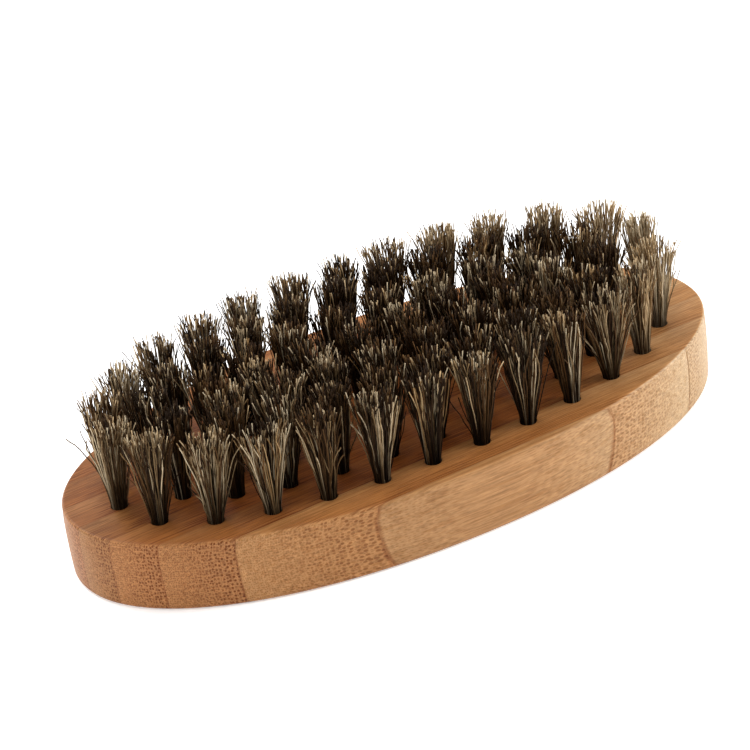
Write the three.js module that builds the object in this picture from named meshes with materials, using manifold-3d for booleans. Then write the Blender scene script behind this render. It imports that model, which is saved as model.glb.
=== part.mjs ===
// Oval beard brush, in millimetres, lying on its flat back with the bristles up (+Z).
// The back is a board of bamboo strips glued side by side, sawn to an oval and sanded. Blind holes
// are drilled from the face, and a tuft of bristle is set in each one. The origin is the centre of
// the back's flat underside and +X runs along the brush.

import Module from 'manifold-3d';
import * as THREE from 'three';
import { mergeVertices } from 'three/addons/utils/BufferGeometryUtils.js';

// --- driving dimensions -------------------------------------------------------------------------

// The bamboo back.
const HALF_LENGTH = 62.5;
const HALF_WIDTH = 30.8;
const OUTLINE_POWER = 2.078; // 2 is an ellipse, more is fuller at the corners
const THICKNESS = 13.2;
const OUTLINE_STEPS = 72;

// The sanded wall, from the underside to the face. Insets are measured in from the widest line.
const UNDERSIDE_ROUND = 0.9;
const UNDERSIDE_INSET = 0.35;
const FACE_ROUND = 0.5;
const FACE_INSET = 0.1;
const WIDEST_HEIGHT = 10.4;
const ARC_STEPS = 3;

// The strips are about 7.3 wide. Their glue lines run almost along the brush, and the strips lean
// round the middle of the back by the grain angle.
const GLUE_LINES = [-28.7, -21.2, -13.9, -6.9, 0.2, 7.4, 14.6, 21.8, 29];
const GLUE_GAP = 0.2;
const GRAIN_ANGLE = THREE.MathUtils.degToRad(1.9);

// The holes and what is set in them.
const HOLE_RADIUS = 1.5;
const HOLE_DEPTH = 8;
const HOLE_SIDES = 8;
const ROOT_RADIUS = 1.15;
const ROOT_FLOAT = 0.35; // from the floor of the hole to the fold of the tuft
const BRISTLE_LENGTH = 16.6; // out of the wood
const STRAIGHT_HEIGHT = 1; // out of the wood, before the tuft starts to flare
const TIP_RADIUS = 3.2;
const TUFT_SIDES = 8;

// Three ovals of tufts, one inside the other, round a straight middle row.
const OUTER_RING = { halfLength: 53.4, halfWidth: 23.1, power: 2.25, count: 26, shift: 0 };
const SECOND_RING = { halfLength: 44.6, halfWidth: 16.4, power: 2.1, count: 22, shift: 0.5 };
const THIRD_RING = { halfLength: 35.5, halfWidth: 8.4, power: 2, count: 16, shift: 0.5 };
const MIDDLE_ROW = { halfLength: 24, count: 6 };
const TIP_MAT_DEPTH = 2.5; // how far down the inner tufts' tips run into each other
const TIP_MAT_REACH = 2.2; // how far past the third ring's centres that goes
const TIP_MAT_SINK = 0.1; // the mat's top lies this far under the tips
const MAT_SPLIT_GAP = 0.3;
const MAT_STEPS = 40;
const RING_POINTS = 2000; // short steps that an oval's length is measured along

// Two points closer than the first are one point. The second stands for no distance at all.
const MERGE_DISTANCE = 1e-5;
const TINY = 1e-6;

const BAMBOO = { color: 0xc99a68, roughness: 0.55, metalness: 0 };
const BRISTLE = { color: 0x5a4c38, roughness: 0.7, metalness: 0 };

// --- solids -------------------------------------------------------------------------------------

const wasm = await Module();
wasm.setup();

// A closed three.js geometry as a manifold solid.
function toSolid(geometry) {
  const bare = geometry.index ? geometry.toNonIndexed() : geometry.clone();
  bare.deleteAttribute('normal');
  bare.deleteAttribute('uv');
  const merged = mergeVertices(bare, MERGE_DISTANCE);
  const vertProperties = new Float32Array(merged.attributes.position.array);
  const triVerts = new Uint32Array(merged.index.array);
  return new wasm.Manifold(new wasm.Mesh({ numProp: 3, vertProperties, triVerts }));
}

// A manifold solid as a three.js geometry.
function toGeometry(solid) {
  const mesh = solid.getMesh();
  const geometry = new THREE.BufferGeometry();
  geometry.setAttribute('position', new THREE.BufferAttribute(mesh.vertProperties, 3));
  geometry.setIndex(new THREE.BufferAttribute(mesh.triVerts, 1));
  return geometry;
}

function namedMesh(name, geometry, finish) {
  const mesh = new THREE.Mesh(geometry, new THREE.MeshStandardMaterial(finish));
  mesh.name = name;
  return mesh;
}

const numbered = (word, i) => `${word}_${String(i + 1).padStart(2, '0')}`;

// A point of an oval whose power sets how full it is, at an angle round it.
function ovalPoint(angle, halfLength, halfWidth, power) {
  const bend = (value) => Math.sign(value) * Math.abs(value) ** (2 / power);
  return new THREE.Vector2(halfLength * bend(Math.cos(angle)), halfWidth * bend(Math.sin(angle)));
}

// A lathe shape stands on Y. This stands it on Z.
function uprightLathe(profile, sides) {
  return new THREE.LatheGeometry(profile, sides).rotateX(Math.PI / 2);
}

// --- the back -----------------------------------------------------------------------------------

// The wall's section: a rounded lower edge, a slight belly and a softer upper edge. X is the
// distance from the middle at the brush's waist, and Y is height.
function wallProfile() {
  const lower = HALF_WIDTH - UNDERSIDE_INSET;
  const upper = HALF_WIDTH - FACE_INSET;
  const path = new THREE.Path();
  path.moveTo(0, 0);
  path.lineTo(lower - UNDERSIDE_ROUND, 0);
  path.absarc(lower - UNDERSIDE_ROUND, UNDERSIDE_ROUND, UNDERSIDE_ROUND, -Math.PI / 2, 0);
  path.quadraticCurveTo(HALF_WIDTH, THICKNESS / 2, HALF_WIDTH, WIDEST_HEIGHT);
  path.lineTo(upper, THICKNESS - FACE_ROUND);
  path.absarc(upper - FACE_ROUND, THICKNESS - FACE_ROUND, FACE_ROUND, 0, Math.PI / 2);
  path.lineTo(0, THICKNESS);
  return path.getPoints(ARC_STEPS);
}

// The whole oval board: the wall's section turned round, then stretched along X from a circle to
// the oval, so that every height keeps its own inset.
function ovalBoard() {
  const board = uprightLathe(wallProfile(), OUTLINE_STEPS);
  const place = board.attributes.position;
  for (let i = 0; i < place.count; i += 1) {
    const radius = Math.hypot(place.getX(i), place.getY(i));
    const angle = Math.atan2(place.getY(i), place.getX(i));
    const reach = radius < TINY ? 0 : radius + HALF_LENGTH - HALF_WIDTH;
    const point = ovalPoint(angle, reach, radius, OUTLINE_POWER);
    place.setXY(i, point.x, point.y);
  }
  return toSolid(board);
}

// A slab between two glue lines, long and tall enough to cut a whole strip from the board.
function stripSlab(from, to) {
  const slab = new THREE.BoxGeometry(HALF_LENGTH * 3, to - from, THICKNESS * 3);
  slab.translate(0, (from + to) / 2, 0);
  slab.rotateZ(GRAIN_ANGLE);
  return toSolid(slab);
}

function drill(place) {
  const hole = new THREE.CylinderGeometry(HOLE_RADIUS, HOLE_RADIUS, HOLE_DEPTH * 2, HOLE_SIDES);
  hole.rotateX(Math.PI / 2);
  hole.translate(place.x, place.y, THICKNESS);
  return toSolid(hole);
}

function bambooStrips(places) {
  const board = places.reduce((left, place) => left.subtract(drill(place)), ovalBoard());
  const group = new THREE.Group();
  const edges = [-HALF_WIDTH * 2, ...GLUE_LINES, HALF_WIDTH * 2];
  for (let i = 0; i < edges.length - 1; i += 1) {
    const strip = board.intersect(stripSlab(edges[i] + GLUE_GAP / 2, edges[i + 1] - GLUE_GAP / 2));
    group.add(namedMesh(numbered('bamboo_strip', i), toGeometry(strip), BAMBOO));
  }
  return group;
}

// --- the tufts ----------------------------------------------------------------------------------

// Evenly spaced places round an oval, starting at its -X end and going by its -Y side.
function ringPlaces({ halfLength, halfWidth, power, count, shift }) {
  const points = [];
  for (let i = 0; i <= RING_POINTS; i += 1) {
    points.push(ovalPoint(Math.PI + (i / RING_POINTS) * Math.PI * 2, halfLength, halfWidth, power));
  }
  const along = [0];
  for (let i = 1; i <= RING_POINTS; i += 1) {
    along.push(along[i - 1] + points[i].distanceTo(points[i - 1]));
  }
  return Array.from({ length: count }, (_, k) => {
    const target = ((k + shift) / count) * along[RING_POINTS];
    return points[along.findIndex((distance) => distance >= target - TINY)];
  });
}

function rowPlaces({ halfLength, count }) {
  return Array.from({ length: count }, (_, k) => {
    return new THREE.Vector2(-halfLength + (2 * halfLength * k) / (count - 1), 0);
  });
}

// One tuft: straight in its hole, then flaring to its trimmed tips. The face is at height 0.
function tuftGeometry() {
  const profile = [
    new THREE.Vector2(0, ROOT_FLOAT - HOLE_DEPTH),
    new THREE.Vector2(ROOT_RADIUS, ROOT_FLOAT - HOLE_DEPTH),
    new THREE.Vector2(ROOT_RADIUS, STRAIGHT_HEIGHT),
    new THREE.Vector2(TIP_RADIUS, BRISTLE_LENGTH),
    new THREE.Vector2(0, BRISTLE_LENGTH),
  ];
  return uprightLathe(profile, TUFT_SIDES);
}

function tuftRing(word, places) {
  const group = new THREE.Group();
  places.forEach((place, i) => {
    const tuft = namedMesh(numbered(word, i), tuftGeometry(), BRISTLE);
    tuft.position.set(place.x, place.y, THICKNESS);
    group.add(tuft);
  });
  return group;
}

// The inner tufts stand so close that their tips run into one mat. Each half of them is one solid:
// the tufts with a flat mat of tips that joins them.
function innerTufts(name, places, side) {
  const outline = new THREE.Shape();
  for (let i = 0; i < MAT_STEPS; i += 1) {
    const angle = ((i + 0.5) / MAT_STEPS) * Math.PI * 2;
    const { halfLength, halfWidth, power } = THIRD_RING;
    const point = ovalPoint(angle, halfLength + TIP_MAT_REACH, halfWidth + TIP_MAT_REACH, power);
    outline[i === 0 ? 'moveTo' : 'lineTo'](Math.max(point.x * side, MAT_SPLIT_GAP / 2) * side, point.y);
  }
  const mat = new THREE.ExtrudeGeometry(outline, { depth: TIP_MAT_DEPTH, bevelEnabled: false });
  mat.translate(0, 0, BRISTLE_LENGTH - TIP_MAT_DEPTH - TIP_MAT_SINK);
  let solid = toSolid(mat);
  for (const place of places.filter((point) => point.x * side > 0)) {
    solid = solid.add(toSolid(tuftGeometry().translate(place.x, place.y, 0)));
  }
  const mesh = namedMesh(name, toGeometry(solid), BRISTLE);
  mesh.position.z = THICKNESS;
  return mesh;
}

// --- the brush ----------------------------------------------------------------------------------

const outer = ringPlaces(OUTER_RING);
const second = ringPlaces(SECOND_RING);
const inner = [...ringPlaces(THIRD_RING), ...rowPlaces(MIDDLE_ROW)];

const brush = new THREE.Group();
brush.add(bambooStrips([...outer, ...second, ...inner]));
brush.add(tuftRing('outer_tuft', outer));
brush.add(tuftRing('second_tuft', second));
brush.add(innerTufts('inner_tufts_left', inner, -1));
brush.add(innerTufts('inner_tufts_right', inner, 1));

export default brush;
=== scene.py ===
# %% [markdown]
# # An oval beard brush
# The brush is a bamboo back, glued up from thin strips and sanded to an oval, with tufts of boar
# bristle set in blind holes. The CAD model gives every place and size. This script builds the
# surfaces that make it look real around that frame: sanded bamboo with its fibre ends, thousands
# of single bristles and the flat wire staples that hold them in the wood.

# %% Load the CAD model as a fixed frame
import math
from types import SimpleNamespace

import bmesh
import bpy
import numpy as np
from mathutils import Matrix, Vector


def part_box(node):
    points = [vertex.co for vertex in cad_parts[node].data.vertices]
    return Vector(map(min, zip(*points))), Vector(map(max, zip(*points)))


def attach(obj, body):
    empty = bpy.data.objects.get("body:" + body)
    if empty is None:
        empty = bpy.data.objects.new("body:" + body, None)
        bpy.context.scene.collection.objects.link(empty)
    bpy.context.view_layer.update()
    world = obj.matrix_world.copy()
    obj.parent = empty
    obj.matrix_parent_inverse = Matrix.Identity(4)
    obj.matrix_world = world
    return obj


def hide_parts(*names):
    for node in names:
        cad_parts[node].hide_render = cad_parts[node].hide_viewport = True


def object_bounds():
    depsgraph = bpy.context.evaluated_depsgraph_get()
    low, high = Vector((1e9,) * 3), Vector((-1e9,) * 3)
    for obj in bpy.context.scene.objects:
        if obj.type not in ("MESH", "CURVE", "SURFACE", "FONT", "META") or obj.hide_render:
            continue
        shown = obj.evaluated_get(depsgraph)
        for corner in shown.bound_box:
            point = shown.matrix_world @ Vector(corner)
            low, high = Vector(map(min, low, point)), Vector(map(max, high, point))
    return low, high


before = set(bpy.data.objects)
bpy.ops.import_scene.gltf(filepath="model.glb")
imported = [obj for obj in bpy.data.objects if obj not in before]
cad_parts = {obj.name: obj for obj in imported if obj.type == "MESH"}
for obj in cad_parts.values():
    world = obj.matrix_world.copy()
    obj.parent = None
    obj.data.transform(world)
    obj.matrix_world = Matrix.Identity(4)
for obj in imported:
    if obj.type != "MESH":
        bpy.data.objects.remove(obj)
cad_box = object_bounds()
MM = 0.001
print("CAD box in mm:", [[round(v / MM, 1) for v in corner] for corner in cad_box])

# %% [markdown]
# ## The camera
# The camera stands far off and has a long lens, so that the near and far ends of the brush keep
# almost the same size. It could be turned by hand in the viewport, but numbers can be repeated: it
# is placed by three angles and a distance from the point it looks at. A little roll tilts it, which
# is why the brush seems to climb to the right.

# %% Place the camera
AIM = Vector((7.68, 19.82, 6.6)) * MM
DISTANCE = 783.7 * MM
AZIMUTH, ELEVATION, ROLL = (math.radians(angle) for angle in (-26.36, 29.31, 7.62))
LENS, SENSOR = 209.64, 36.0


def camera_axes(azimuth, elevation, roll):
    """The camera's right, up and backward directions."""
    backward = Vector((
        math.sin(azimuth) * math.cos(elevation),
        -math.cos(azimuth) * math.cos(elevation),
        math.sin(elevation),
    ))
    level = Vector((0, 0, 1)).cross(backward).normalized()
    upright = backward.cross(level)
    right = level * math.cos(roll) - upright * math.sin(roll)
    up = level * math.sin(roll) + upright * math.cos(roll)
    return right, up, backward


right, up, backward = camera_axes(AZIMUTH, ELEVATION, ROLL)
lens = bpy.data.cameras.new("camera")
lens.lens = LENS
lens.sensor_width = SENSOR
lens.clip_start = 0.01
lens.clip_end = 20
camera = bpy.data.objects.new("camera", lens)
bpy.context.collection.objects.link(camera)
placed = Matrix((right, up, backward)).transposed().to_4x4()
placed.translation = AIM + backward * DISTANCE
camera.matrix_world = placed
bpy.context.scene.camera = camera
print("camera at", [round(v, 3) for v in camera.matrix_world.translation])

# %% [markdown]
# ## The studio
# The light is plain and soft: a white room and five wide lamps, the strongest at the right and
# behind, so that no tuft throws a hard shadow. One small bright lamp would be simpler, but it would
# turn every bristle into a black line on the wood. The floor is nearly white.

# %% Helpers for materials
def node(tree, kind, inputs=None, **settings):
    """A new shader node. Each input is a value, or another node's output to link."""
    made = tree.nodes.new(kind)
    for name, value in settings.items():
        setattr(made, name, value)
    for name, value in (inputs or {}).items():
        if isinstance(value, bpy.types.NodeSocket):
            tree.links.new(value, made.inputs[name])
        else:
            made.inputs[name].default_value = value
    return made


def new_material(name):
    """An empty node material, and its tree."""
    material = bpy.data.materials.new(name)
    material.use_nodes = True
    material.node_tree.nodes.clear()
    return material, material.node_tree


def put_out(tree, shader):
    """Send a shader to the material's output."""
    node(tree, "ShaderNodeOutputMaterial", {"Surface": shader.outputs["BSDF"]})


print("material helpers ready")

# %% A paper floor
FLOOR_HALF = 3.0
FLOOR_DROP = 0.02 * MM  # so that the floor doesn't touch the underside
FLOOR_GLOW = 0.36  # a lit table: it keeps the shadow faint
PAPER_SHADES = (0.90, 0.94)


def floor_finish():
    """Nearly white paper, with a faint mottle."""
    material, tree = new_material("studio_paper")
    place = node(tree, "ShaderNodeTexCoord")
    mottle = node(tree, "ShaderNodeTexNoise", {"Vector": place.outputs["Object"], "Scale": 9.0})
    shades = node(tree, "ShaderNodeValToRGB", {"Fac": mottle.outputs["Fac"]})
    for element, shade in zip(shades.color_ramp.elements, PAPER_SHADES):
        element.color = (shade, shade, shade, 1)
    put_out(tree, node(tree, "ShaderNodeBsdfPrincipled", {
        "Base Color": shades.outputs["Color"], "Roughness": 0.9,
        "Emission Color": (1, 1, 1, 1), "Emission Strength": FLOOR_GLOW,
    }))
    return material


def floor_sheet():
    """A large flat sheet just under the brush."""
    mesh = bpy.data.meshes.new("studio_floor")
    height = cad_box[0][2] - FLOOR_DROP
    corners = [(-1, -1), (1, -1), (1, 1), (-1, 1)]
    points = [(x * FLOOR_HALF, y * FLOOR_HALF, height) for x, y in corners]
    mesh.from_pydata(points, [], [(0, 1, 2, 3)])
    mesh.materials.append(floor_finish())
    sheet = bpy.data.objects.new("studio_floor", mesh)
    bpy.context.collection.objects.link(sheet)
    return sheet


floor_sheet()
print(f"a floor {2 * FLOOR_HALF:.0f} m wide")

# %% Room light and lamps
ROOM_STRENGTH = 0.42
LAMPS = {  # place in metres, width in metres, power in watts
    "lamp_overhead": ((0.0, 0.1, 0.9), 0.7, 5.4),
    "lamp_right": ((0.95, -0.3, 0.27), 0.5, 14.3),
    "lamp_left": ((-0.85, 0.1, 0.3), 0.4, 3.2),
    "lamp_front": ((-0.3, -1.0, 0.35), 0.6, 0.8),
    "lamp_back": ((-0.2, 1.0, 0.8), 0.8, 10.0),
}


def soft_lamp(name, place, size, power):
    """A wide square lamp that faces the brush."""
    data = bpy.data.lights.new(name, "AREA")
    data.shape = "SQUARE"
    data.size = size
    data.energy = power
    lamp = bpy.data.objects.new(name, data)
    lamp.location = place
    lamp.rotation_euler = (Vector(place) - AIM).to_track_quat("Z", "Y").to_euler()
    bpy.context.collection.objects.link(lamp)
    return lamp


def white_room():
    """A room that looks white to the camera and lights the brush more gently."""
    room = bpy.data.worlds.new("white_room")
    room.use_nodes = True
    tree = room.node_tree
    background = tree.nodes["Background"].inputs
    background["Color"].default_value = (1, 1, 1, 1)
    seen = node(tree, "ShaderNodeLightPath").outputs["Is Camera Ray"]
    strength = node(tree, "ShaderNodeMapRange", {"Value": seen, "To Min": ROOM_STRENGTH, "To Max": 1.0})
    tree.links.new(strength.outputs["Result"], background["Strength"])
    return room


bpy.context.scene.world = white_room()
bpy.context.scene.view_settings.view_transform = "Standard"
for name, (place, size, power) in LAMPS.items():
    soft_lamp(name, place, size, power)
print(len(LAMPS), "lamps")

# %% [markdown]
# ## The bamboo back
# A bamboo board is glued up from strips split from the cane's wall. Each strip keeps the cane's own
# build: dark fibre bundles crowd its outer side and thin out towards its inner side. The oval is
# cut from such a board, and its edge is sanded a little rounder below than above.
#
# The outer sizes are read from the frame. The outline is an oval whose power is a bit above 2, so
# it is slightly fuller than an ellipse.

# %% Sizes of the back, from the frame
high_corners = [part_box(name)[1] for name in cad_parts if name.startswith("bamboo_strip")]
HALF_LENGTH, HALF_WIDTH, FACE = (max(corner[k] for corner in high_corners) for k in range(3))
OUTLINE_POWER = 2.078
GLUE_LINES = [y * MM for y in (-28.7, -21.2, -13.9, -6.9, 0.2, 7.4, 14.6, 21.8, 29.0)]
GRAIN_ANGLE = math.radians(1.9)
print(f"back {HALF_LENGTH * 2 / MM:.1f} x {HALF_WIDTH * 2 / MM:.1f} x {FACE / MM:.1f} mm")

# %% [markdown]
# The whole board is built first, as rings of points from the underside to the face. A bevelled
# plate would be quicker, but it can't have the slight belly that sanding leaves. Each strip is then
# a copy of the board, cut along its two glue lines, so neighbours fit each other exactly.

# %% Build the oval board
OUTLINE_STEPS = 360
ROUND_STEPS, BELLY_STEPS = 7, 9
UNDERSIDE_ROUND, UNDERSIDE_INSET = 0.9 * MM, 0.35 * MM
FACE_ROUND, FACE_INSET = 0.5 * MM, 0.1 * MM
WIDEST_HEIGHT = 10.4 * MM


def oval(angles, half_length, half_width, power=2.0):
    """Points of an oval at these angles, as an array of x and y."""
    c, s = np.cos(angles), np.sin(angles)
    x = half_length * np.sign(c) * np.abs(c) ** (2 / power)
    y = half_width * np.sign(s) * np.abs(s) ** (2 / power)
    return np.stack([x, y], axis=1)


def wall_section():
    """(inset, height) from the underside to the face: a round, a shallow belly and a small round."""
    section = []
    for turn in np.linspace(-math.pi / 2, 0, ROUND_STEPS):
        inset = UNDERSIDE_INSET + UNDERSIDE_ROUND * (1 - math.cos(turn))
        section.append((inset, UNDERSIDE_ROUND * (1 + math.sin(turn))))
    for height in np.linspace(UNDERSIDE_ROUND, WIDEST_HEIGHT, BELLY_STEPS)[1:]:
        climb = (height - UNDERSIDE_ROUND) / (WIDEST_HEIGHT - UNDERSIDE_ROUND)
        section.append((UNDERSIDE_INSET * (1 - climb) ** 2, height))
    for turn in np.linspace(0, math.pi / 2, ROUND_STEPS):
        inset = FACE_INSET + FACE_ROUND * (1 - math.cos(turn))
        section.append((inset, FACE - FACE_ROUND * (1 - math.sin(turn))))
    return section


def board_mesh():
    """The whole back as one closed bmesh, before it is cut into strips."""
    angles = np.linspace(0, 2 * math.pi, OUTLINE_STEPS, endpoint=False)
    board = bmesh.new()
    rings = []
    for inset, height in wall_section():
        points = oval(angles, HALF_LENGTH - inset, HALF_WIDTH - inset, OUTLINE_POWER)
        rings.append([board.verts.new((x, y, height)) for x, y in points])
    for low, high in zip(rings, rings[1:]):
        for i in range(OUTLINE_STEPS):
            j = (i + 1) % OUTLINE_STEPS
            board.faces.new((low[i], low[j], high[j], high[i]))
    board.faces.new(list(reversed(rings[0])))
    board.faces.new(rings[-1])
    return board


board = board_mesh()
print(f"board of {len(board.verts)} points")

# %% [markdown]
# ## Where the tufts stand
# The holes follow three ovals, one inside the other, round a straight middle row. The outer two
# ovals are separate tufts in the frame, so their places are read from it. The inner ones are joined
# there, so theirs are worked out by the same rule: equal steps along the oval.

# %% Places of the tufts
THIRD_OVAL = SimpleNamespace(half_length=35.5 * MM, half_width=8.4 * MM, count=16)
MIDDLE_ROW = SimpleNamespace(half_length=24 * MM, count=6)
FINE_STEPS = 4000  # short steps that an oval's length is measured along


def middle_of(box):
    """The middle of a box, seen from above."""
    return np.array([(box[0][k] + box[1][k]) / 2 for k in range(2)])


def places_round(ring):
    """Evenly spaced places round an oval, half a step off its end."""
    turns = math.pi + np.linspace(0, 2 * math.pi, FINE_STEPS + 1)
    fine = oval(turns, ring.half_length, ring.half_width)
    along = np.concatenate([[0], np.cumsum(np.linalg.norm(np.diff(fine, axis=0), axis=1))])
    wanted = (np.arange(ring.count) + 0.5) / ring.count * along[-1]
    return [np.array([np.interp(w, along, fine[:, k]) for k in range(2)]) for w in wanted]


def tuft_list():
    """Each tuft's label, place and the CAD node that it stands for."""
    tufts = []
    for word in ("outer", "second"):
        for name in sorted(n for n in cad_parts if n.startswith(word + "_tuft")):
            label = f"{word}_{name[-2:]}"
            tufts.append(SimpleNamespace(label=label, place=middle_of(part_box(name)), node=name))
    row = [np.array([x, 0.0]) for x in np.linspace(-1, 1, MIDDLE_ROW.count) * MIDDLE_ROW.half_length]
    for word, places in (("third", places_round(THIRD_OVAL)), ("middle", row)):
        for i, place in enumerate(places):
            side = "left" if place[0] < 0 else "right"
            label = f"{word}_{i + 1:02d}"
            tufts.append(SimpleNamespace(label=label, place=place, node=f"inner_tufts_{side}"))
    return tufts


tufts = tuft_list()
print(len(tufts), "tufts")

# %% [markdown]
# ## The drill
# The holes are blind, with the pointed floor that a drill leaves and a mouth that is eased a
# little. A dark disc on the face could stand for each hole, but the bristles show its depth. The
# drill is a closed lathe shape, which is taken out of the wood with a boolean.

# %% Shape the drill
HOLE_RADIUS, HOLE_DEPTH = 1.5 * MM, 8 * MM
HOLE_EASE = 0.06 * MM
DRILL_SIDES = 40
DRILL_POINT = math.radians(31)  # the slope of a common drill's point


def lathe(bm, profile, sides, centre):
    """Add a closed turned solid to a bmesh. The profile is (radius, height) from axis to axis."""
    poles = [bm.verts.new((centre[0], centre[1], profile[i][1])) for i in (0, -1)]
    turns = [2 * math.pi * i / sides for i in range(sides)]
    rings = []
    for radius, height in profile[1:-1]:
        rings.append([bm.verts.new((
            centre[0] + radius * math.cos(turn), centre[1] + radius * math.sin(turn), height,
        )) for turn in turns])
    for i in range(sides):
        j = (i + 1) % sides
        bm.faces.new((poles[0], rings[0][j], rings[0][i]))
        for low, high in zip(rings, rings[1:]):
            bm.faces.new((low[i], low[j], high[j], high[i]))
        bm.faces.new((rings[-1][i], rings[-1][j], poles[1]))


def drill_bits(places):
    """One mesh with a drill shape at each place."""
    bits = bmesh.new()
    point = HOLE_RADIUS * math.tan(DRILL_POINT)
    profile = [
        (0, FACE - HOLE_DEPTH - point),
        (HOLE_RADIUS, FACE - HOLE_DEPTH),
        (HOLE_RADIUS, FACE - 2 * HOLE_EASE),
        (HOLE_RADIUS + HOLE_EASE, FACE),
        (HOLE_RADIUS + 3 * HOLE_EASE, FACE + 2 * HOLE_EASE),
        (0, FACE + 2 * HOLE_EASE),
    ]
    for place in places:
        lathe(bits, profile, DRILL_SIDES, place)
    return bits


print(f"holes {2 * HOLE_RADIUS / MM:.0f} mm wide and {HOLE_DEPTH / MM:.0f} mm deep")

# %% [markdown]
# ## Cutting and drilling the strips
# A strip is cut from the board with two planes. A strip could be drawn on its own, but cuts through
# one board keep the outline true from strip to strip. The strip's own X axis lies along its fibres,
# so that its finish can follow the grain.

# %% Cut one strip
def to_object(bm, name):
    """A new object from a bmesh, with its faces turned out."""
    bmesh.ops.recalc_face_normals(bm, faces=bm.faces)
    mesh = bpy.data.meshes.new(name)
    bm.to_mesh(mesh)
    bm.free()
    made = bpy.data.objects.new(name, mesh)
    bpy.context.collection.objects.link(made)
    return made


def cut_strip(i, low, high, middle):
    """Strip number i, between two glue lines, in a frame of its own along the grain."""
    own = Matrix.Rotation(GRAIN_ANGLE, 4, "Z") @ Matrix.Translation((0, middle, 0))
    strip = board.copy()
    strip.transform(own.inverted())
    for edge, out in ((low - middle, -1), (high - middle, 1)):
        if math.isinf(edge):
            continue
        everything = strip.verts[:] + strip.edges[:] + strip.faces[:]
        cut = bmesh.ops.bisect_plane(
            strip, geom=everything, plane_co=(0, edge, 0), plane_no=(0, out, 0), clear_outer=True,
        )
        rim = [e for e in cut["geom_cut"] if isinstance(e, bmesh.types.BMEdge)]
        bmesh.ops.edgeloop_fill(strip, edges=rim)
    piece = to_object(strip, f"sanded_strip_{i + 1:02d}")
    piece.matrix_world = own
    return piece


print("grain turned by", round(math.degrees(GRAIN_ANGLE), 1), "degrees")

# %% Drill the strips
DRILL_REACH = 1.5 * HOLE_RADIUS  # a hole this near to a strip may cut it
SHARP_EDGE = math.radians(32)
FULL_STRIP = 7.2 * MM  # an outer strip was this wide before the oval was sawn


def apply_modifiers(piece):
    """Keep the evaluated mesh, and drop the modifiers."""
    graph = bpy.context.evaluated_depsgraph_get()
    mesh = bpy.data.meshes.new_from_object(piece.evaluated_get(graph))
    piece.modifiers.clear()
    old, piece.data = piece.data, mesh
    mesh.name = piece.name
    bpy.data.meshes.remove(old)


def full_sides(low, high):
    """A strip's two sides. An outer strip is taken at the width it had before the oval was sawn."""
    start = high - FULL_STRIP if math.isinf(low) else low
    end = low + FULL_STRIP if math.isinf(high) else high
    return start, end


def drill_strip(piece, low, high):
    """Drill every hole that reaches this strip."""
    lean = np.array([-math.sin(GRAIN_ANGLE), math.cos(GRAIN_ANGLE)])
    near = [t.place for t in tufts if low - DRILL_REACH < t.place @ lean < high + DRILL_REACH]
    if not near:
        return 0
    bits = to_object(drill_bits(near), "drill_bits")
    cutter = piece.modifiers.new("drill", "BOOLEAN")
    cutter.operation = "DIFFERENCE"
    cutter.solver = "EXACT"
    cutter.object = bits
    bpy.context.view_layer.update()
    apply_modifiers(piece)
    bpy.data.meshes.remove(bits.data)
    return len(near)


def soften_shading(piece):
    """Smooth curved faces and keep flat ones flat."""
    mesh = piece.data
    mesh.polygons.foreach_set("use_smooth", [True] * len(mesh.polygons))
    mesh.set_sharp_from_angle(angle=SHARP_EDGE)
    steady = piece.modifiers.new("steady_normals", "WEIGHTED_NORMAL")
    steady.keep_sharp = True


strips = []
edges = [-math.inf, *GLUE_LINES, math.inf]
for i, (low, high) in enumerate(zip(edges, edges[1:])):
    start, end = full_sides(low, high)
    middle = (start + end) / 2
    piece = cut_strip(i, low, high, middle)
    holes = drill_strip(piece, low, high)
    soften_shading(piece)
    strips.append(SimpleNamespace(piece=piece, middle=middle, half=(end - start) / 2, holes=holes))
    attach(piece, "root")
    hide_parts(f"bamboo_strip_{i + 1:02d}")
board.free()
print("holes that reach each strip:", [s.holes for s in strips])

# %% [markdown]
# ## Sanded bamboo
# Bamboo has no rings. Its wall is soft pith with hard, dark fibre bundles that run the whole
# length of the cane. Cut across, a bundle is a dot. Cut at a slant, it is a dash, and cut along, it
# is a line. One pattern in space makes all three: rods that run along the strip. Voronoi cells
# drawn in the section plane give the rods, and a slow sway moves them sideways along the strip,
# so that a sanded face cuts into some and leaves others. The bundles crowd the cane's outer side.

# %% Helpers for values
def math_node(tree, operation, first, second=0.0, third=0.0):
    """One arithmetic step."""
    made = node(tree, "ShaderNodeMath", operation=operation)
    for i, value in enumerate((first, second, third)):
        if isinstance(value, bpy.types.NodeSocket):
            tree.links.new(value, made.inputs[i])
        else:
            made.inputs[i].default_value = value
    return made.outputs["Value"]


def span(tree, value, low, high, to_low=0.0, to_high=1.0, smooth=True):
    """A value carried from one range to another."""
    made = node(tree, "ShaderNodeMapRange", {
        "Value": value, "From Min": low, "From Max": high, "To Min": to_low, "To Max": to_high,
    }, interpolation_type="SMOOTHSTEP" if smooth else "LINEAR")
    return made.outputs["Result"]


def join(tree, x, y, z=0.0):
    """Three values as one vector."""
    return node(tree, "ShaderNodeCombineXYZ", {"X": x, "Y": y, "Z": z}).outputs["Vector"]


def noise(tree, place, scale, detail):
    """Noise whose scale differs along each axis."""
    stretched = node(tree, "ShaderNodeVectorMath", {0: place, 1: scale}, operation="MULTIPLY")
    made = node(tree, "ShaderNodeTexNoise", {
        "Vector": stretched.outputs["Vector"], "Scale": 1.0, "Detail": detail,
    })
    return made.outputs["Fac"]


print("value helpers ready")

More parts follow.
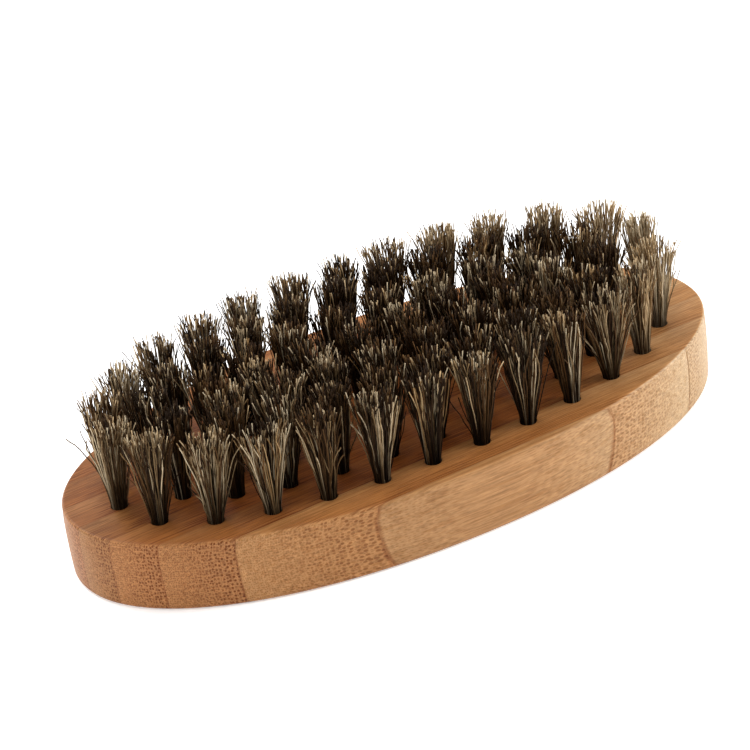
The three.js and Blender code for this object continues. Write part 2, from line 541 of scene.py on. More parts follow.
# %% Helpers for colours and groups
def blend(tree, amount, first, second, mode="MIX"):
    """Mix two colours by an amount."""
    made = node(tree, "ShaderNodeMix", data_type="RGBA", blend_type=mode)
    for i, value in ((0, amount), (6, first), (7, second)):
        if isinstance(value, bpy.types.NodeSocket):
            tree.links.new(value, made.inputs[i])
        else:
            made.inputs[i].default_value = value
    return made.outputs[2]


def darken(tree, amount, colour, tint):
    """Multiply a colour by a tint, by an amount."""
    return blend(tree, amount, colour, (*tint, 1), "MULTIPLY")


def new_group(name, inputs, outputs):
    """A shader group with named sockets, and its input and output nodes."""
    group = bpy.data.node_groups.new(name, "ShaderNodeTree")
    for socket, (kind, value) in inputs.items():
        made = group.interface.new_socket(socket, in_out="INPUT", socket_type=kind)
        if value is not None:
            made.default_value = value
    for socket, kind in outputs.items():
        group.interface.new_socket(socket, in_out="OUTPUT", socket_type=kind)
    taken = group.nodes.new("NodeGroupInput")
    given = group.nodes.new("NodeGroupOutput")
    return group, taken.outputs, given


def use_group(tree, group, inputs):
    """Place a shader group with its own values."""
    placed = node(tree, "ShaderNodeGroup", node_tree=group)
    for name, value in inputs.items():
        if isinstance(value, bpy.types.NodeSocket):
            tree.links.new(value, placed.inputs[name])
        else:
            placed.inputs[name].default_value = value
    return placed.outputs


print("colour and group helpers ready")

# %% [markdown]
# The bundles are a shader group, so that every strip can place them with a seed and a pitch of its
# own. It holds two sets of rods: coarse ones that thin out and fade here and there, and fine ones
# between them. A painted texture would be flat, and wouldn't turn the corner from wall to face.

# %% Fibre bundles as a shader group
PITCH_UP = 0.70  # mm from one bundle to the next, up the strip
UNEVEN = 0.62  # 0 would set the bundles out in a square grid
SOFT_EDGE = 0.07  # of a cell, from a bundle to the pith round it
SWAY_ACROSS, SWAY_UP = 1.6, 3.0  # mm that a bundle strays along the strip
THICK_OUTSIDE, THICK_INSIDE = 0.29, 0.20  # of a cell, a coarse bundle's radius
FINE_BUNDLE = 0.24  # of a cell
FINE_ACROSS, FINE_UP = 0.62, 0.66  # the fine bundles' pitch beside the coarse ones'
ROD_SEED_STEP = 61.7  # mm along the grain, so that no two strips share a stretch


def rods(group, y, z, pitch, pitch_up, thick):
    """Voronoi cells in the section plane: a mask of their middles, and their random colours."""
    across = math_node(group, "DIVIDE", y, pitch)
    up = math_node(group, "DIVIDE", z, pitch_up)
    cells = node(group, "ShaderNodeTexVoronoi", {
        "Vector": join(group, across, up), "Scale": 1.0, "Randomness": UNEVEN,
    }, voronoi_dimensions="2D").outputs
    own = node(group, "ShaderNodeSeparateColor", {"Color": cells["Color"]}).outputs
    thick = math_node(group, "MULTIPLY_ADD", own["Red"], 0.07, thick)
    inside = math_node(group, "SUBTRACT", thick, cells["Distance"])
    return span(group, inside, -SOFT_EDGE, SOFT_EDGE), own


def bundle_group():
    """Rods along X: coarse and dark at the outer side of the cane, fine and pale at the inner."""
    group, taken, given = new_group("fibre_bundles", {
        "Place": ("NodeSocketVector", None),
        "Inward": ("NodeSocketFloat", 0.5),
        "Seed": ("NodeSocketFloat", 0.0),
        "Pitch": ("NodeSocketFloat", 0.4),
    }, {"Coarse": "NodeSocketFloat", "Fine": "NodeSocketFloat"})
    parts = node(group, "ShaderNodeSeparateXYZ", {"Vector": taken["Place"]}).outputs
    along = math_node(group, "MULTIPLY_ADD", taken["Seed"], ROD_SEED_STEP, parts["X"])
    sway_across = noise(group, join(group, along, taken["Seed"]), (0.045, 3.1, 0), 1.0)
    sway_up = noise(group, join(group, along, taken["Seed"]), (0.035, 5.7, 0), 1.0)
    y = math_node(group, "MULTIPLY_ADD", sway_across, SWAY_ACROSS, parts["Y"])
    z = math_node(group, "MULTIPLY_ADD", sway_up, SWAY_UP, parts["Z"])
    thick = span(group, taken["Inward"], 0.0, 1.0, THICK_OUTSIDE, THICK_INSIDE)
    coarse, own = rods(group, y, z, taken["Pitch"], PITCH_UP, thick)
    faded = noise(group, join(group, along, own["Green"]), (0.11, 40.0, 0), 1.0)
    coarse = math_node(group, "MULTIPLY", coarse, span(group, faded, 0.30, 0.55, 0.5, 1.0))
    fine_pitch = math_node(group, "MULTIPLY", taken["Pitch"], FINE_ACROSS)
    fine, _ = rods(group, y, z, fine_pitch, FINE_UP * PITCH_UP, FINE_BUNDLE)
    group.links.new(coarse, given.inputs["Coarse"])
    group.links.new(fine, given.inputs["Fine"])
    return group


bundles = bundle_group()
print("bundle group of", len(bundles.nodes), "nodes")

# %% [markdown]
# The pith round the bundles is built up in the same solid way: a slow change of colour from the
# cane's outer side to its inner side, long faint streaks, and fine dust-like grain. The wood is
# painted paler towards +X, a painted sheen for the light that falls on that end, and the face is
# painted darker and warmer than the wall, a painted shade for the tufts above it. One noise could
# do for all of it, but real pith shows several sizes of grain at once, so there are four noises,
# each stretched along the fibres.

# %% Grain and pith
SHEEN_FROM, SHEEN_TO = 5.0, 55.0  # mm along the brush over which the painted sheen grows
GRAIN_SEED_STEP = 37.3  # mm along the grain
GRAINS = {  # how fine it is along, across and up the strip, and its detail
    "broad": ((0.014, 0.45, 0.30), 2.0),
    "streak": ((0.030, 2.2, 1.6), 3.0),
    "dash": ((0.24, 3.1, 3.1), 1.0),
    "dust": ((0.9, 4.5, 4.5), 2.0),
}
# The face tint is a painted shade, for the shade and brown bounce light among the tufts.
PITH_TINTS = SimpleNamespace(streak=(0.92, 0.80, 0.62), face=(0.95, 0.88, 0.79))


def grain_noises(group, place, seed):
    """The four noises of one strip, from long and slow to dust."""
    shift = join(group, math_node(group, "MULTIPLY", seed, GRAIN_SEED_STEP), 0.0)
    moved = node(group, "ShaderNodeVectorMath", {0: place, 1: shift}).outputs["Vector"]
    return SimpleNamespace(**{name: noise(group, moved, *look) for name, look in GRAINS.items()})


def grey_of(group, grain):
    """Light and dark from the three finer noises together."""
    grey = span(group, grain.streak, 0.28, 0.72, 0.86, 1.14, smooth=False)
    dash = span(group, grain.dash, 0.3, 0.7, 0.87, 1.13, smooth=False)
    dust = span(group, grain.dust, 0.3, 0.7, 0.90, 1.10, smooth=False)
    grey = math_node(group, "MULTIPLY", grey, dash)
    grey = math_node(group, "MULTIPLY", grey, dust)
    return join(group, grey, grey, grey)


def pith_colour(group, taken, grain, along, wavering):
    """The pith's colour: across the strip, along the brush with a painted sheen, in its grain, and with
    painted shade on the face.
    """
    pith = blend(group, span(group, wavering, 0.25, 1.25), taken["Outer Pith"], taken["Inner Pith"])
    # Painted sheen: the wall, and less so the face, turns paler towards +X, where the most light falls.
    on_wall = math_node(group, "MULTIPLY_ADD", taken["Cut Along"], -0.40, 1.0)
    sheen = math_node(group, "MULTIPLY", span(group, along, SHEEN_FROM, SHEEN_TO), on_wall)
    pith = blend(group, sheen, pith, taken["Sheen End"])
    pith = blend(group, 1.0, pith, grey_of(group, grain), "MULTIPLY")
    pith = darken(group, span(group, grain.streak, 0.52, 0.30, 0.0, 0.7), pith, PITH_TINTS.streak)
    # Painted shade: surfaces cut along the fibres are drawn darker and warmer than the wall.
    pith = darken(group, taken["Cut Along"], pith, PITH_TINTS.face)
    # Painted light: the face is drawn darker towards -X and lighter towards +X.
    lift = span(group, along, -60.0, 60.0, 0.88, 1.19, smooth=False)
    return blend(group, taken["Cut Along"], pith, join(group, lift, lift, lift), "MULTIPLY")


print(len(GRAINS), "kinds of grain")

# %% [markdown]
# Two kinds of dark marks lie on the pith, and a painted shade. The bundles crowd the strip's outer
# side. A thin line marks each glued side. Between the tufts the face is painted darker: a painted
# shade for the shadow that falls among the tufts. These could be painted by hand, but a mask worked
# out from the place fits every strip.

# %% Masks for the marks on the pith
GLUE_LINE = 0.07  # mm of dark line in each strip at a glued side
# The painted shade between the tufts: its oval, and the heights that keep it off the underside.
SHADED_OVAL = (54.0, 22.8)  # half sizes in mm of the darker area of the face
SHADE_FROM, SHADE_TO = 4.0, 12.0  # mm above the underside; below this there is no painted shade


def bundle_masks(group, taken, place, along, inward, wavering):
    """How much a bundle shows at each point, and how crowded the bundles are there."""
    fibres = use_group(group, bundles, {
        "Place": place, "Inward": inward,
        "Seed": taken["Seed"], "Pitch": taken["Bundle Pitch"],
    })
    outer = span(group, wavering, 0.55, 1.50, 1.0, 0.0)
    coarse_share = math_node(group, "MULTIPLY_ADD", outer, 0.85, 0.15)
    fine_share = math_node(group, "MULTIPLY_ADD", outer, -0.25, 0.72)
    coarse = math_node(group, "MULTIPLY", fibres["Coarse"], coarse_share)
    fine = math_node(group, "MULTIPLY", fibres["Fine"], fine_share)
    # The bundles fade over the same span as the painted sheen.
    sheen_fading = span(group, along, SHEEN_FROM, SHEEN_TO, 1.0, 0.62)
    strength = math_node(group, "MULTIPLY", taken["Bundle Strength"], sheen_fading)
    bundle = math_node(group, "MULTIPLY", math_node(group, "MAXIMUM", coarse, fine), strength)
    closer = math_node(group, "MULTIPLY_ADD", taken["Cut Along"], 0.5, 0.35)
    return bundle, math_node(group, "MULTIPLY", outer, closer)


def glue_mask(group, across, half_width, broad):
    """A thin line at each side of the strip, fainter here and there."""
    from_side = math_node(group, "SUBTRACT", half_width, math_node(group, "ABSOLUTE", across))
    line = span(group, from_side, 2 * GLUE_LINE, GLUE_LINE / 2)
    return math_node(group, "MULTIPLY", line, span(group, broad, 0.3, 0.6, 0.25, 0.8))


def painted_shade_mask(group, taken, parts):
    """Painted shade on the face between the tufts, as a soft oval. Height keeps it off the underside.
    """
    from_middle = math_node(group, "ADD", parts["Y"], taken["Middle"])
    ends = math_node(group, "DIVIDE", parts["X"], SHADED_OVAL[0])
    sides = math_node(group, "DIVIDE", from_middle, SHADED_OVAL[1])
    ends = math_node(group, "MULTIPLY", ends, ends)
    sides = math_node(group, "MULTIPLY", sides, sides)
    away = math_node(group, "ADD", ends, sides)
    # painted shade: strongest inside the ring of tufts, on the face only
    shaded = math_node(group, "MULTIPLY", span(group, away, 1.15, 0.75), taken["Cut Along"])
    return math_node(group, "MULTIPLY", shaded, span(group, parts["Z"], SHADE_FROM, SHADE_TO))


print("bundle, glue and grease masks ready")

# %% [markdown]
# The whole strip is one group. It takes a place in the strip's own frame, and a mask of the surfaces
# that are cut along the fibres. It gives out a colour, a roughness and a height for the bump. Each
# material could hold these nodes itself, but then a change would have to be made ten times.

# %% Bamboo as a shader group
MARK_TINTS = SimpleNamespace(
    crowded=(0.88, 0.72, 0.54), bundle=(0.40, 0.24, 0.08),
    # The last tint is a painted shade, for the shadow among the tufts.
    glue=(0.58, 0.38, 0.22), tuft_shade=(0.80, 0.64, 0.46),
)


def bamboo_group():
    """Pith with painted sheen and shade, bundles, glue lines and painted shade between the tufts."""
    group, taken, given = new_group("bamboo_section", {
        "Place": ("NodeSocketVector", None),
        "Middle": ("NodeSocketFloat", 0.0),
        "Half Width": ("NodeSocketFloat", 3.6),
        "Cut Along": ("NodeSocketFloat", 0.0),
        "Seed": ("NodeSocketFloat", 0.0),
        "Bundle Pitch": ("NodeSocketFloat", 0.4),
        "Bundle Strength": ("NodeSocketFloat", 1.0),
        "Outer Pith": ("NodeSocketColor", (0.3, 0.13, 0.05, 1)),
        "Inner Pith": ("NodeSocketColor", (0.4, 0.2, 0.08, 1)),
        # Sheen End is the colour of the painted sheen at +X.
        "Sheen End": ("NodeSocketColor", (0.378, 0.264, 0.147, 1)),
    }, {"Color": "NodeSocketColor", "Roughness": "NodeSocketFloat", "Height": "NodeSocketFloat"})
    in_mm = node(group, "ShaderNodeVectorMath", {0: taken["Place"]}, operation="SCALE")
    in_mm.inputs["Scale"].default_value = 1 / MM
    place = in_mm.outputs["Vector"]
    parts = node(group, "ShaderNodeSeparateXYZ", {"Vector": place}).outputs
    across = math_node(group, "DIVIDE", parts["Y"], taken["Half Width"])
    inward = span(group, across, -1.0, 1.0, smooth=False)
    grain = grain_noises(group, place, taken["Seed"])
    wavering = math_node(group, "MULTIPLY_ADD", grain.broad, 0.8, inward)

    bundle, crowded = bundle_masks(group, taken, place, parts["X"], inward, wavering)
    glue = glue_mask(group, parts["Y"], taken["Half Width"], grain.broad)
    wood = pith_colour(group, taken, grain, parts["X"], wavering)
    wood = darken(group, crowded, wood, MARK_TINTS.crowded)
    wood = darken(group, bundle, wood, MARK_TINTS.bundle)
    wood = darken(group, glue, wood, MARK_TINTS.glue)
    # painted shade between the tufts, where their shadow falls on the face
    wood = darken(group, painted_shade_mask(group, taken, parts), wood, MARK_TINTS.tuft_shade)

    rough = math_node(group, "MULTIPLY_ADD", grain.dust, 0.14, 0.38)
    rough = math_node(group, "MULTIPLY_ADD", bundle, 0.10, rough)
    dusty = math_node(group, "ADD", grain.dust, grain.dash)
    height = math_node(group, "MULTIPLY_ADD", bundle, -0.6, dusty)
    height = math_node(group, "MULTIPLY_ADD", glue, -0.8, height)
    for socket, value in (("Color", wood), ("Roughness", rough), ("Height", height)):
        group.links.new(value, given.inputs[socket])
    return group


bamboo = bamboo_group()
print("bamboo group of", len(bamboo.nodes), "nodes")

# %% [markdown]
# Strips come from different canes, so each has its own shade and its own pattern. Each strip gets
# a material that places the same group with its own values. The wood is sanded and bare, or nearly
# so, and the gloss is low. A shallow bump lets the bundles and the glue lines lie a little deeper.

# %% Finish each strip
WALL_UP_TO, FACE_FROM = 0.75, 0.97  # the normal's Z: less is wall, more is face or underside
BUMP_DEPTH, BUMP_STRENGTH = 0.05 * MM, 0.4
STRIP_LOOKS = [  # outer pith, inner pith, bundle pitch in mm, bundle strength
    ((0.335, 0.177, 0.069), (0.345, 0.181, 0.073), 0.30, 0.42),
    ((0.375, 0.187, 0.070), (0.378, 0.188, 0.070), 0.27, 0.75),
    ((0.345, 0.158, 0.056), (0.325, 0.143, 0.048), 0.30, 1.00),
    ((0.330, 0.146, 0.050), (0.330, 0.146, 0.050), 0.40, 1.00),
    ((0.298, 0.138, 0.048), (0.312, 0.150, 0.056), 0.42, 1.00),
    ((0.325, 0.146, 0.053), (0.345, 0.160, 0.061), 0.50, 0.90),
    ((0.305, 0.130, 0.042), (0.330, 0.144, 0.048), 0.42, 0.95),
    ((0.330, 0.144, 0.048), (0.345, 0.156, 0.054), 0.38, 0.85),
    ((0.315, 0.136, 0.044), (0.340, 0.150, 0.050), 0.32, 0.85),
    ((0.330, 0.152, 0.053), (0.345, 0.162, 0.058), 0.28, 0.55),
]


def bamboo_finish(i, strip, outer, inner, pitch, strength):
    """The material of one strip. Only the face and the underside are cut along the fibres."""
    material, tree = new_material(f"bamboo_{i + 1:02d}")
    place = node(tree, "ShaderNodeTexCoord").outputs
    upright = node(tree, "ShaderNodeSeparateXYZ", {"Vector": place["Normal"]}).outputs["Z"]
    section = use_group(tree, bamboo, {
        "Place": place["Object"],
        "Middle": strip.middle / MM,
        "Half Width": strip.half / MM,
        "Cut Along": span(tree, math_node(tree, "ABSOLUTE", upright), WALL_UP_TO, FACE_FROM),
        "Seed": i + 1.0,
        "Bundle Pitch": pitch,
        "Bundle Strength": strength,
        "Outer Pith": (*outer, 1),
        "Inner Pith": (*inner, 1),
    })
    bump = node(tree, "ShaderNodeBump", {
        "Height": section["Height"], "Strength": BUMP_STRENGTH, "Distance": BUMP_DEPTH,
    })
    put_out(tree, node(tree, "ShaderNodeBsdfPrincipled", {
        "Base Color": section["Color"],
        "Roughness": section["Roughness"],
        "Normal": bump.outputs["Normal"],
        "Specular IOR Level": 0.2,
    }))
    return material


for i, (strip, look) in enumerate(zip(strips, STRIP_LOOKS)):
    strip.piece.data.materials.clear()
    strip.piece.data.materials.append(bamboo_finish(i, strip, *look))
print(len(strips), "strips finished")

# %% [markdown]
# ## A bristle
# A tuft is a bundle of bristles folded in half. A machine lays a short flat wire, the staple,
# across the fold and drives both into the hole, where the ends of the staple bite into the wood.
# So every bristle is one long hair: it runs down the hole on one side of the staple, turns under
# it and comes back up on the other side.
#
# A bristle could be a curve with a bevel, but a brush has thousands, and they have to end up as
# solid meshes. Here each one is a thin tube of rings, and all the rings of a tuft are computed at
# once as arrays.

# %% Sizes of a tuft
BRISTLES = 72  # in one tuft, so twice as many ends show
BRISTLE_LENGTH = cad_box[1][2] - FACE
BUNDLE_RADIUS = 1.38 * MM
FLARE = 3.0 * MM
ROOT_RADIUS, TIP_RADIUS = 0.108 * MM, 0.084 * MM
SIDES = 5
STAPLE = SimpleNamespace(long=3.2 * MM, tall=1.6 * MM, thick=0.45 * MM)
STAPLE_LIFT = 1.5 * MM  # from the floor of the hole
STAPLE_MIDDLE = FACE - HOLE_DEPTH + STAPLE_LIFT + STAPLE.tall / 2
CLIMB = np.array([0.0, 0.06, 0.16, 0.28, 0.42, 0.56, 0.70, 0.82, 0.92, 1.0])  # rings of a free end
GOLDEN_TURN = math.pi * (3 - math.sqrt(5))
print(f"bristles stand {BRISTLE_LENGTH / MM:.1f} mm out of the wood")

# %% [markdown]
# Out of the wood a bristle leans outwards, because the tuft is packed tight in its hole and free
# above it. Hairs that touch draw together in locks. Each hair also waves a little and bends off on
# its own in its last third. Hair curves with physics could do this, but a rule with a seed gives
# the same tuft on each run. A few hairs are loose or end lower down, as in any natural tuft.

# %% Shape the free ends
TIP_STRAY, REACH_STRAY = 0.36 * MM, 0.42 * MM  # of each tip, sideways and in height
LOOSE, LOOSE_STRAY = 0.018, 1.7 * MM  # the part of the hairs that is loose, and how far out
SHORT = 0.10  # the part of the hairs that ends lower down
WAVES = ((1.0, 0.26 * MM), (2.3, 0.10 * MM), (4.1, 0.035 * MM))  # waves along a hair, and their size
CROOK_FROM, CROOK = 0.65, 0.55 * MM  # where the last bend starts, and its size


def half_disc(rng, count):
    """Even places in half of the bundle's disc, on the +v side of the staple."""
    turn = np.arange(count) * GOLDEN_TURN + rng.uniform(0, 2 * math.pi)
    radius = np.sqrt((np.arange(count) + 0.6) / count) * BUNDLE_RADIUS
    return radius * np.cos(turn), np.abs(radius * np.sin(turn))


def clumped(rng, root, tip, leaders=7, pull=0.45):
    """Draw each tip towards that of a leader near it, as hairs stick together in locks."""
    chosen = rng.choice(len(root), leaders, replace=False)
    gap = np.linalg.norm(root[:, None] - root[None, chosen], axis=2)
    near = chosen[np.argmin(gap, axis=1)]
    pulls = pull * rng.uniform(0.2, 1.4, (len(root), 1))
    return tip + (tip[near] - tip) * pulls


def tips_of(rng, disc, root, side, tuft):
    """Where each tip stands, seen from above, and how high it reaches."""
    count = len(root)
    spread = FLARE * tuft.flare * rng.lognormal(0.0, 0.17, (count, 1))
    inner = (np.linalg.norm(disc, axis=1, keepdims=True) / BUNDLE_RADIUS) ** 0.4
    tip = disc * (1 + spread / BUNDLE_RADIUS * inner) + tuft.lean
    tip += rng.normal(0, TIP_STRAY, (count, 2))
    tip[:, 1] += side * tuft.split
    tip = clumped(rng, root, tip)
    loose = rng.random(count) < LOOSE
    tip[loose] += rng.normal(0, LOOSE_STRAY, (loose.sum(), 2))
    far = np.clip(np.linalg.norm(tip, axis=1) / (BUNDLE_RADIUS + FLARE), 0, 1.5)
    reach = BRISTLE_LENGTH * (0.985 - 0.05 * far ** 2) + rng.normal(0, REACH_STRAY, count)
    short = (rng.random(count) < SHORT) | loose
    reach[short] *= rng.uniform(0.5, 0.95, short.sum())
    return tip, reach


def ends_of(rng, u, v, side, tuft):
    """One end of each bristle, from the hole's mouth to the tip, as (bristle, ring, xyz)."""
    count = len(u)
    climb = CLIMB[None, :, None]
    disc = np.stack([u, v * side], axis=1)
    root = disc * (0.95, 0.90) + (0, side * 0.1 * MM)
    tip, reach = tips_of(rng, disc, root, side, tuft)
    bow = rng.uniform(0.95, 1.45, (count, 1, 1))
    xy = root[:, None] + (tip - root)[:, None] * climb ** bow
    for turns, size in WAVES:
        phase = rng.uniform(0, 2 * math.pi, (count, 1, 2))
        wave = np.sin(climb * turns * 2 * math.pi + phase) - np.sin(phase)
        xy += wave * rng.normal(0, size, (count, 1, 2)) * climb
    crook = np.clip(climb - CROOK_FROM, 0, None) / (1 - CROOK_FROM)
    xy += rng.normal(0, CROOK, (count, 1, 2)) * crook ** 1.5
    z = FACE + reach[:, None] * CLIMB[None]
    return np.concatenate([xy, z[..., None]], axis=2)


print("each end has", len(CLIMB), "rings")

# %% [markdown]
# Below the face the hair runs down beside the staple, under it and up on the other side. The two
# free ends and this hidden fold are joined into one path, so the hair has no break in the wood.

# %% Join two ends with a fold under the staple
BESIDE_STAPLE = 0.12 * MM  # the least gap between the staple's side and a hair's middle
BELOW_STAPLE = 0.15 * MM


def bristle_paths(rng, tuft, u, v):
    """Each bristle's whole path: tip, mouth, under the staple, mouth and tip."""
    first = ends_of(rng, u, v, 1, tuft)[:, ::-1]
    last = ends_of(rng, u, v, -1, tuft)
    beside = STAPLE.thick / 2 + BESIDE_STAPLE + v * 0.72
    low = STAPLE_MIDDLE - STAPLE.tall / 2
    high = np.full_like(v, STAPLE_MIDDLE + STAPLE.tall)
    level = np.full_like(v, low)
    drop = BELOW_STAPLE + beside * 0.9
    down = [(beside, high), (beside, level), (beside * 0.7, low - drop * 0.7)]
    fold = down + [(v * 0, low - drop)] + [(-across, height) for across, height in reversed(down)]
    under = np.stack([np.stack([u * 0.9, across, height], axis=1) for across, height in fold], axis=1)
    return np.concatenate([first, under, last], axis=1)


print("staple at", round(STAPLE_MIDDLE / MM, 1), "mm above the underside")

# %% [markdown]
# Each path becomes a closed tube. Its rings stand square to the path, and all of them start from
# the same side, so that no tube is twisted. Five sides are enough for a hair this thin.

# %% Turn paths into tubes
def tube_arrays(paths, radii, side_axis):
    """Points and faces of one closed tube along each path."""
    count, rings, _ = paths.shape
    along = np.gradient(paths, axis=1)
    along /= np.linalg.norm(along, axis=2, keepdims=True)
    first = side_axis - (along @ side_axis)[..., None] * along
    first /= np.linalg.norm(first, axis=2, keepdims=True)
    second = np.cross(along, first)
    turn = np.arange(SIDES) * 2 * math.pi / SIDES
    ring = first[:, :, None] * np.cos(turn)[:, None] + second[:, :, None] * np.sin(turn)[:, None]
    points = paths[:, :, None] + ring * radii[:, :, None, None]
    start = np.arange(count)[:, None] * rings * SIDES
    low = start[:, :, None] + np.arange(rings - 1)[None, :, None] * SIDES
    k = np.arange(SIDES)
    after = (k + 1) % SIDES
    quads = np.stack([low + k, low + after, low + SIDES + after, low + SIDES + k], axis=3)
    caps = np.concatenate([start + k[::-1], start + (rings - 1) * SIDES + k])
    return points.reshape(-1, 3), quads.reshape(-1, 4), caps


print("a tube has", SIDES, "sides")

# %% [markdown]
# Natural bristle is mixed: nearly black, brown, and straw-coloured hairs lie side by side. Each
# bristle gets a tone between 0 and 1 and a warmth, which makes some pale hairs more golden. Both
# are stored on its points, with how far out of the wood a point is, and the finish reads all three.
# A material for each shade would do it too, but then no hair could change along its length.
# Neighbours often share a tone; outer tufts at the ends and far side hold more straw, as painted light.

# %% Give each bristle a tone
LOCKS = 13  # groups of neighbours in a tuft that mostly share a tone
SAME_TONE = 0.68  # the part of a lock that does
DARK_SHARE, NOT_STRAW_SHARE = 0.42, 0.73  # of an even mix: the dark hairs, and dark and brown ones
# How much darker the mix of each oval is than an even one.
LESS_STRAW = {"outer": 0.08, "second": 0.10, "third": 0.08, "middle": 0.07}
# Painted light: outer tufts hold more straw where the light falls on them, on the far side and at the
# ends.
LIT_FAR_SIDE = 0.42  # outer tufts of the far side hold up to this much more straw
LIT_ENDS = 0.9  # and outer tufts near the brush's ends up to this much


def bristle_tones(rng, bias, u, v):
    """A tone and a warmth for each bristle: many are dark, the rest brown to straw, in locks."""
    places = np.stack([u, v], axis=1)
    leaders = rng.choice(BRISTLES, LOCKS, replace=False)
    nearest = np.argmin(np.linalg.norm(places[:, None] - places[None, leaders], axis=2), axis=1)
    lock = rng.random(LOCKS)[nearest]
    kind = np.where(rng.random(BRISTLES) < SAME_TONE, lock, rng.random(BRISTLES)) - bias
    dark = rng.uniform(0.0, 0.22, BRISTLES)
    brown = rng.uniform(0.28, 0.60, BRISTLES)
    straw = rng.uniform(0.70, 1.0, BRISTLES)
    tone = np.where(kind < DARK_SHARE, dark, np.where(kind < NOT_STRAW_SHARE, brown, straw))
    warmth = rng.random(LOCKS)[nearest] ** 2.5
    return tone, warmth


def straw_bias(tuft, rng):
    """How much darker a tuft's mix is than an even one. Below 0, it holds more straw. Outer tufts get
    more as painted light.
    """
    ring = tuft.label.split("_")[0]
    bias = rng.normal(0, 0.05) + LESS_STRAW[ring]
    if ring == "outer":
        steep = 2 if tuft.place[0] > 0 else 4  # at +X the painted light reaches further in
        near_end = abs(tuft.place[0] / HALF_LENGTH) ** steep
        # painted light on the outer tufts
        bias -= LIT_ENDS * near_end + LIT_FAR_SIDE * tuft.far_side
    return bias


print(LOCKS, "locks in a tuft")

# %% [markdown]
# No two tufts stand alike. Each leans and parts over its staple in its own way, and those on the
# far side spread less. One tuft could be copied 70 times, but the eye finds such repeats at once,
# so each is built with a seed of its own.

# %% Build the tufts
TIGHT_TUFTS = {"outer_14": 0.5}  # the tuft at the very end was set tighter
FAR_SIDE_FLARE = 0.62  # how much the tufts of the far side spread, beside the near side's
FIRST_SEED = 1000


def float_layer(mesh, name, values):
    """Store one number on each point."""
    layer = mesh.attributes.new(name, "FLOAT", "POINT")
    layer.data.foreach_set("value", np.ascontiguousarray(values, dtype=np.float32))


def set_habit(tuft, rng):
    """How a tuft stands: its lean, its parting over the staple, its flare and its fold's turn."""
    tuft.lean = rng.normal(0, 0.30 * MM, 2)
    tuft.split = rng.uniform(0.0, 0.55) * MM
    tuft.far_side = (0.5 + 0.5 * tuft.place[1] / HALF_WIDTH) ** 2
    tuft.flare = rng.uniform(0.85, 1.2) * TIGHT_TUFTS.get(tuft.label, 1.0)
    tuft.flare *= 1 + (FAR_SIDE_FLARE - 1) * tuft.far_side
    tuft.turn = math.pi / 2 + rng.normal(0, 0.15)


def tuft_mesh(name, tuft, rng):
    """All the bristles of one tuft as one mesh of separate closed tubes."""
    set_habit(tuft, rng)
    u, v = half_disc(rng, BRISTLES)
    paths = bristle_paths(rng, tuft, u, v)
    count, rings, _ = paths.shape
    cos, sin = math.cos(tuft.turn), math.sin(tuft.turn)
    paths[..., :2] = paths[..., :2] @ np.array([[cos, sin], [-sin, cos]]) + tuft.place
    out = np.clip((paths[..., 2] - FACE) / BRISTLE_LENGTH, 0, 1)
    root = ROOT_RADIUS * rng.uniform(0.78, 1.15, (count, 1))
    radii = root + (TIP_RADIUS - root) * out ** 1.8
    points, quads, caps = tube_arrays(paths, radii, np.array([cos, sin, 0.0]))
    mesh = bpy.data.meshes.new(name)
    mesh.from_pydata(points.tolist(), [], quads.tolist() + caps.tolist())
    mesh.polygons.foreach_set("use_smooth", [True] * len(mesh.polygons))
    tone, warmth = bristle_tones(rng, straw_bias(tuft, rng), u, v)
    float_layer(mesh, "tone", np.repeat(tone, rings * SIDES))
    float_layer(mesh, "warmth", np.repeat(warmth, rings * SIDES))
    float_layer(mesh, "out", np.repeat(out.reshape(-1), SIDES))
    return mesh


total = 0
for i, tuft in enumerate(tufts):
    rng = np.random.default_rng(FIRST_SEED + i)
    name = f"bristle_tuft_{tuft.label}"
    tuft.piece = bpy.data.objects.new(name, tuft_mesh(name, tuft, rng))
    bpy.context.collection.objects.link(tuft.piece)
    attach(tuft.piece, "root")
    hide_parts(tuft.node)
    total += len(tuft.piece.data.polygons)
print(len(tufts), "tufts,", len(tufts) * BRISTLES, "bristles,", total, "faces")

# %% [markdown]
# Boar bristle is dull, almost without gloss, and its colour is uneven along each hair. A ramp turns
# tone into colour. Near the wood little light gets in between the hairs, so the colour is drawn
# down at the root: a painted shade. A hair shader would shine more, and can't be exported.

# %% Bristle finish
# Painted shade: the root is drawn darker, where little light gets in between the hairs.
ROOT_SHADE, ROOT_UP_TO = 0.24, 0.60  # how dark the root is, and the height where that ends
GOLDEN = (1.0, 0.82, 0.60)
BRISTLE_SHADES = [
    (0.05, (0.012, 0.0062, 0.0024)),
    (0.30, (0.030, 0.0142, 0.0054)),
    (0.55, (0.082, 0.044, 0.017)),
    (0.78, (0.205, 0.142, 0.074)),
    (1.00, (0.560, 0.462, 0.315)),
]


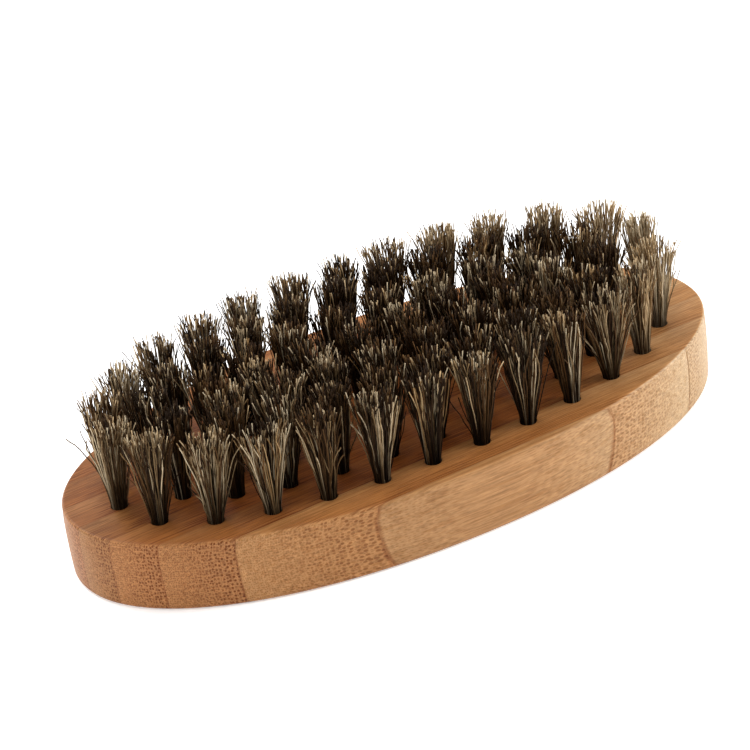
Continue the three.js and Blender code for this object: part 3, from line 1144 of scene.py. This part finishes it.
def bristle_finish():
    """Boar bristle: colour by tone, golden by warmth, painted shade near the wood, and dull."""
    material, tree = new_material("boar_bristle")
    tone = node(tree, "ShaderNodeAttribute", attribute_name="tone").outputs["Fac"]
    out = node(tree, "ShaderNodeAttribute", attribute_name="out").outputs["Fac"]
    warmth = node(tree, "ShaderNodeAttribute", attribute_name="warmth").outputs["Fac"]
    place = node(tree, "ShaderNodeTexCoord").outputs["Object"]
    streaks = noise(tree, place, (1500, 1500, 700), 2.0)
    uneven = math_node(tree, "MULTIPLY_ADD", streaks, 0.30, -0.15)
    shade = node(tree, "ShaderNodeValToRGB", {"Fac": math_node(tree, "ADD", tone, uneven)})
    ramp = shade.color_ramp
    for _ in BRISTLE_SHADES[2:]:
        ramp.elements.new(0.5)
    for element, (position, colour) in zip(ramp.elements, BRISTLE_SHADES):
        element.position = position
        element.color = (*colour, 1)
    # painted shade at the root
    lift = span(tree, out, 0.0, ROOT_UP_TO, ROOT_SHADE, 1.0)
    colour = blend(tree, 1.0, shade.outputs["Color"], join(tree, lift, lift, lift), "MULTIPLY")
    colour = darken(tree, warmth, colour, GOLDEN)
    rough = math_node(tree, "MULTIPLY_ADD", streaks, 0.2, 0.42)
    put_out(tree, node(tree, "ShaderNodeBsdfPrincipled", {
        "Base Color": colour, "Roughness": rough, "Specular IOR Level": 0.06,
    }))
    return material


bristle = bristle_finish()
for tuft in tufts:
    tuft.piece.data.materials.append(bristle)
print("bristle finish on", len(tufts), "tufts")

# %% [markdown]
# ## Anchor staples
# The staple is a short cut of flat wire. It stands on edge across the hole, a little longer than
# the hole is wide, and its lower corners are clipped so that it slides in. A scaled cube would pass
# for it, but a drawn outline pulled to a plate keeps those corners true.

# %% Build the staples
STAPLE_CLIP, STAPLE_BEVEL = 0.35 * MM, 0.06 * MM
WIRE_SHADES = ((0.42, 0.41, 0.39), (0.66, 0.65, 0.62))


def staple_mesh(name):
    """A plate with clipped lower corners and a small bevel all round."""
    half, low, high = STAPLE.long / 2, -STAPLE.tall / 2, STAPLE.tall / 2
    clip = STAPLE_CLIP
    outline = [
        (-half + clip, low), (half - clip, low), (half, low + clip),
        (half, high), (-half, high), (-half, low + clip),
    ]
    plate = bmesh.new()
    front = [plate.verts.new((x, -STAPLE.thick / 2, z)) for x, z in outline]
    face = plate.faces.new(front)
    pulled = bmesh.ops.extrude_face_region(plate, geom=[face])
    moved = [v for v in pulled["geom"] if isinstance(v, bmesh.types.BMVert)]
    bmesh.ops.translate(plate, verts=moved, vec=(0, STAPLE.thick, 0))
    bmesh.ops.bevel(plate, geom=plate.edges[:], offset=STAPLE_BEVEL, segments=2, affect="EDGES")
    return to_object(plate, name)


def staple_finish():
    """Drawn steel wire, with fine lines along it."""
    material, tree = new_material("drawn_wire")
    place = node(tree, "ShaderNodeTexCoord").outputs["Object"]
    stretched = node(tree, "ShaderNodeMapping", {"Vector": place, "Scale": (300, 9000, 9000)})
    lines = node(tree, "ShaderNodeTexNoise", {"Vector": stretched.outputs["Vector"], "Scale": 1.0})
    shade = node(tree, "ShaderNodeValToRGB", {"Fac": lines.outputs["Fac"]})
    for element, colour in zip(shade.color_ramp.elements, WIRE_SHADES):
        element.color = (*colour, 1)
    rough = math_node(tree, "MULTIPLY_ADD", lines.outputs["Fac"], 0.3, 0.2)
    put_out(tree, node(tree, "ShaderNodeBsdfPrincipled", {
        "Base Color": shade.outputs["Color"], "Roughness": rough, "Metallic": 1.0,
    }))
    return material


wire = staple_finish()
for tuft in tufts:
    staple = staple_mesh(f"anchor_staple_{tuft.label}")
    staple.location = (*tuft.place, STAPLE_MIDDLE)
    staple.rotation_euler.z = math.pi / 2
    staple.data.materials.append(wire)
    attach(staple, "root")
print(len(tufts), "staples")
